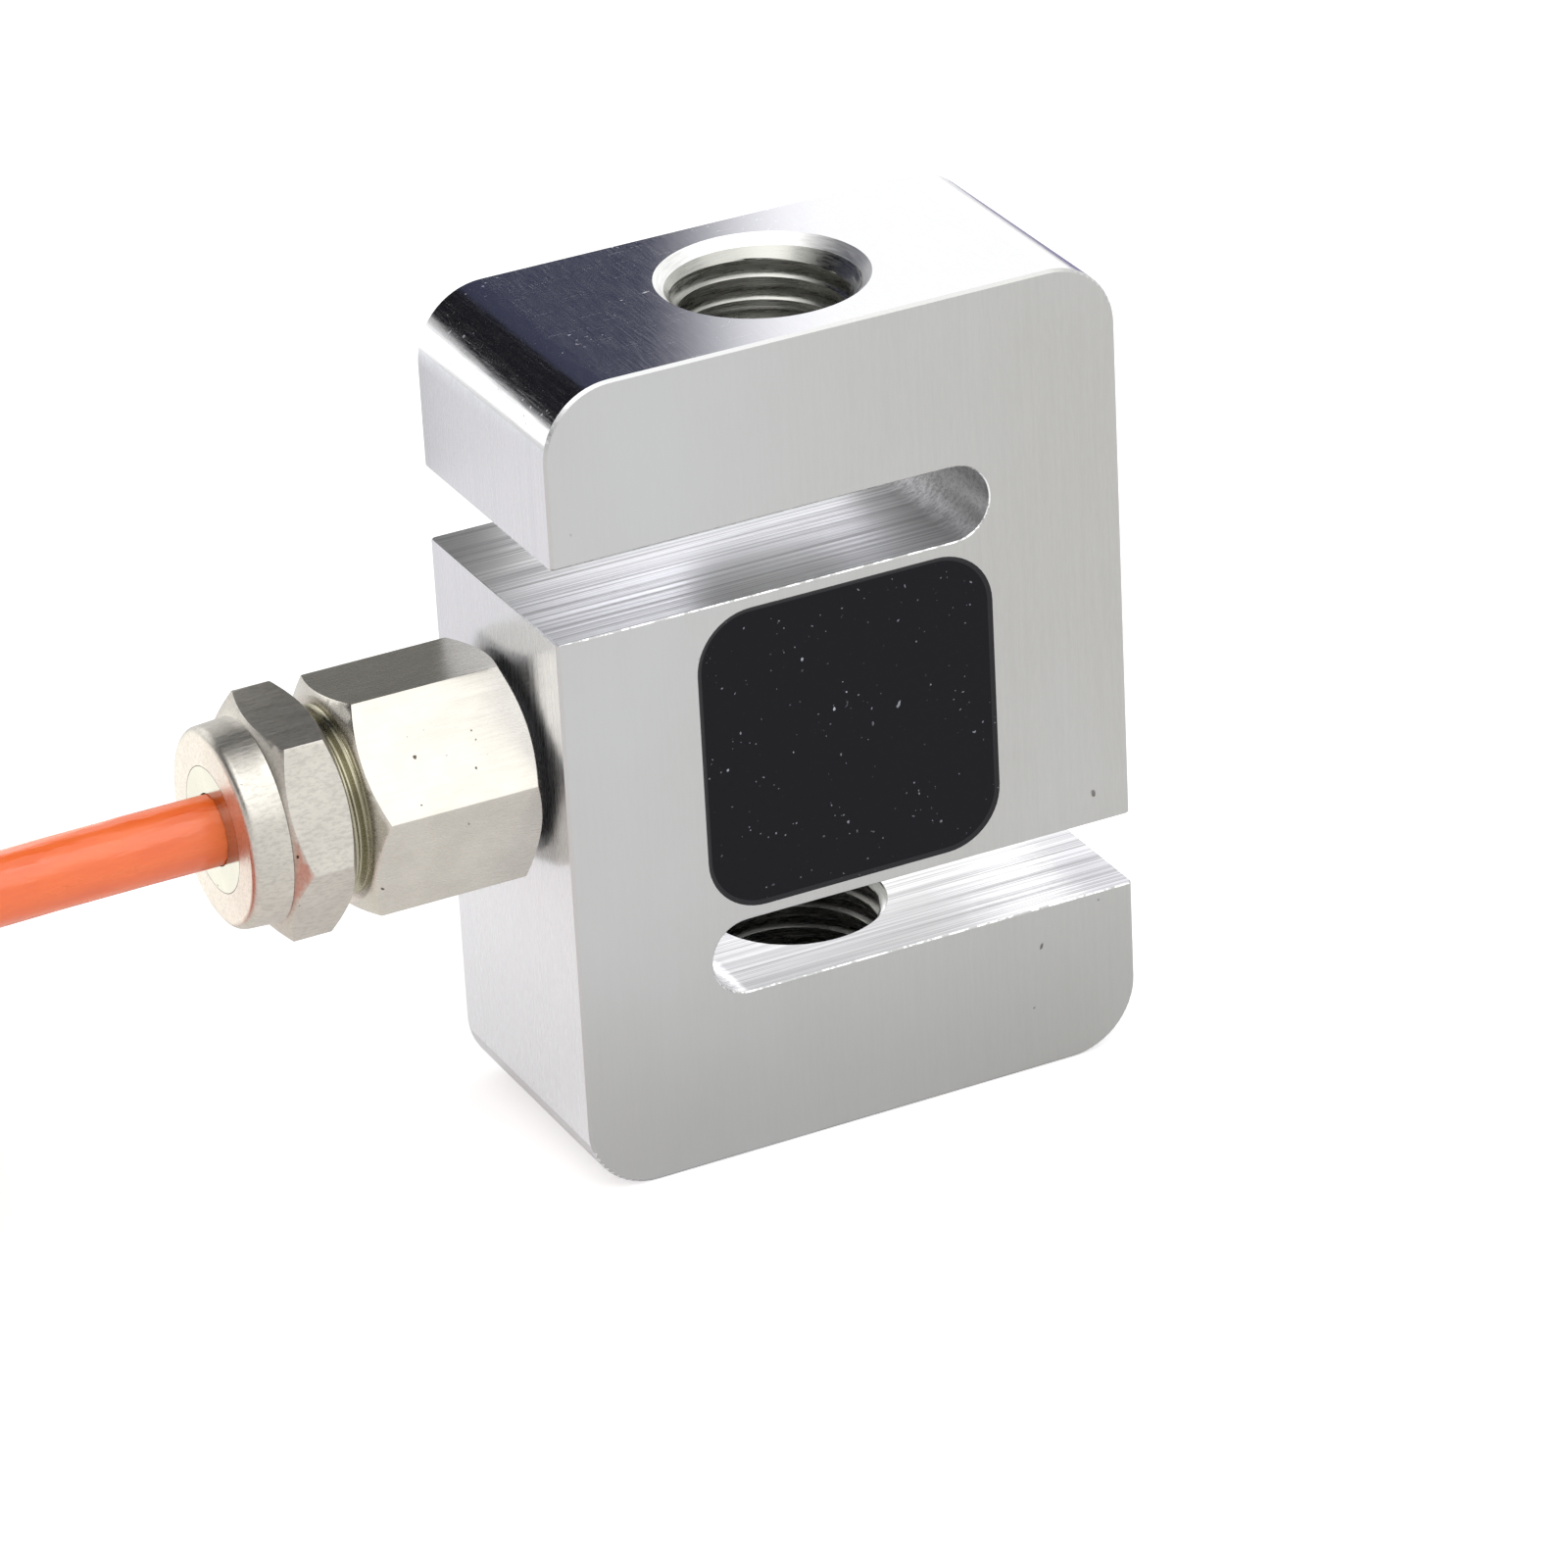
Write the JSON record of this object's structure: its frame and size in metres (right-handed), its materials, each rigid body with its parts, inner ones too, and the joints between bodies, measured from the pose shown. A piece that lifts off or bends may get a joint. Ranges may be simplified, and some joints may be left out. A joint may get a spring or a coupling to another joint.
{
  "type": "s type load cell",
  "caption": "S-shaped steel load cell block with open slots, threaded ends, potted gauge pockets and a side cable gland with a coiled orange cable.",
  "frame": {"origin": "centre of the beam's bottom face", "axes": "+Z along the load axis, from the bottom thread to the top thread; +X along the width, the cable leaves towards -X; +Y through the depth, from the front pocket to the rear pocket"},
  "size_m": [0.1783, 0.0812, 0.072],
  "materials": {
    "beam_steel": "fine ground, satin, with a brighter machined top",
    "potting": "glossy poured compound",
    "nickel_plate": "bright nickel plate on brass",
    "gland_rubber": "matt",
    "orange_jacket": "smooth extruded jacket",
    "tie_nylon": "moulded nylon",
    "core_red": "smooth extruded insulation",
    "core_black": "smooth extruded insulation",
    "core_green": "smooth extruded insulation",
    "core_white": "smooth extruded insulation",
    "tinned_copper": "tinned",
    "gauge_foil": "amber film with etched foil",
    "board_laminate": "glass-fibre laminate with copper lands",
    "resistor_ceramic": "ceramic chip"
  },
  "bodies": {
    "root": {"beam": "beam_steel", "cable_coil": "orange_jacket", "cable_lead": "orange_jacket", "front_gauge_leads": "tinned_copper", "front_inner_gauge": "gauge_foil", "front_outer_gauge": "gauge_foil", "front_potting": "potting", "front_terminal_board": "board_laminate", "front_trim_resistor": "resistor_ceramic", "gland_body": "nickel_plate", "gland_dome_nut": "nickel_plate", "gland_gasket": "gland_rubber", "gland_seal": "gland_rubber", "gland_thrust_sleeve": "nickel_plate", "inner_black_core": "core_black", "inner_green_core": "core_green", "inner_red_core": "core_red", "inner_white_core": "core_white", "left_coil_tie": "tie_nylon", "link_wires": "tinned_copper", "rear_gauge_leads": "tinned_copper", "rear_inner_gauge": "gauge_foil", "rear_outer_gauge": "gauge_foil", "rear_potting": "potting", "rear_terminal_board": "board_laminate", "rear_trim_resistor": "resistor_ceramic", "right_coil_tie": "tie_nylon", "stripped_black_core": "core_black", "stripped_green_core": "core_green", "stripped_red_core": "core_red", "stripped_white_core": "core_white", "tinned_tips": "tinned_copper"}
  },
  "joints": []
}
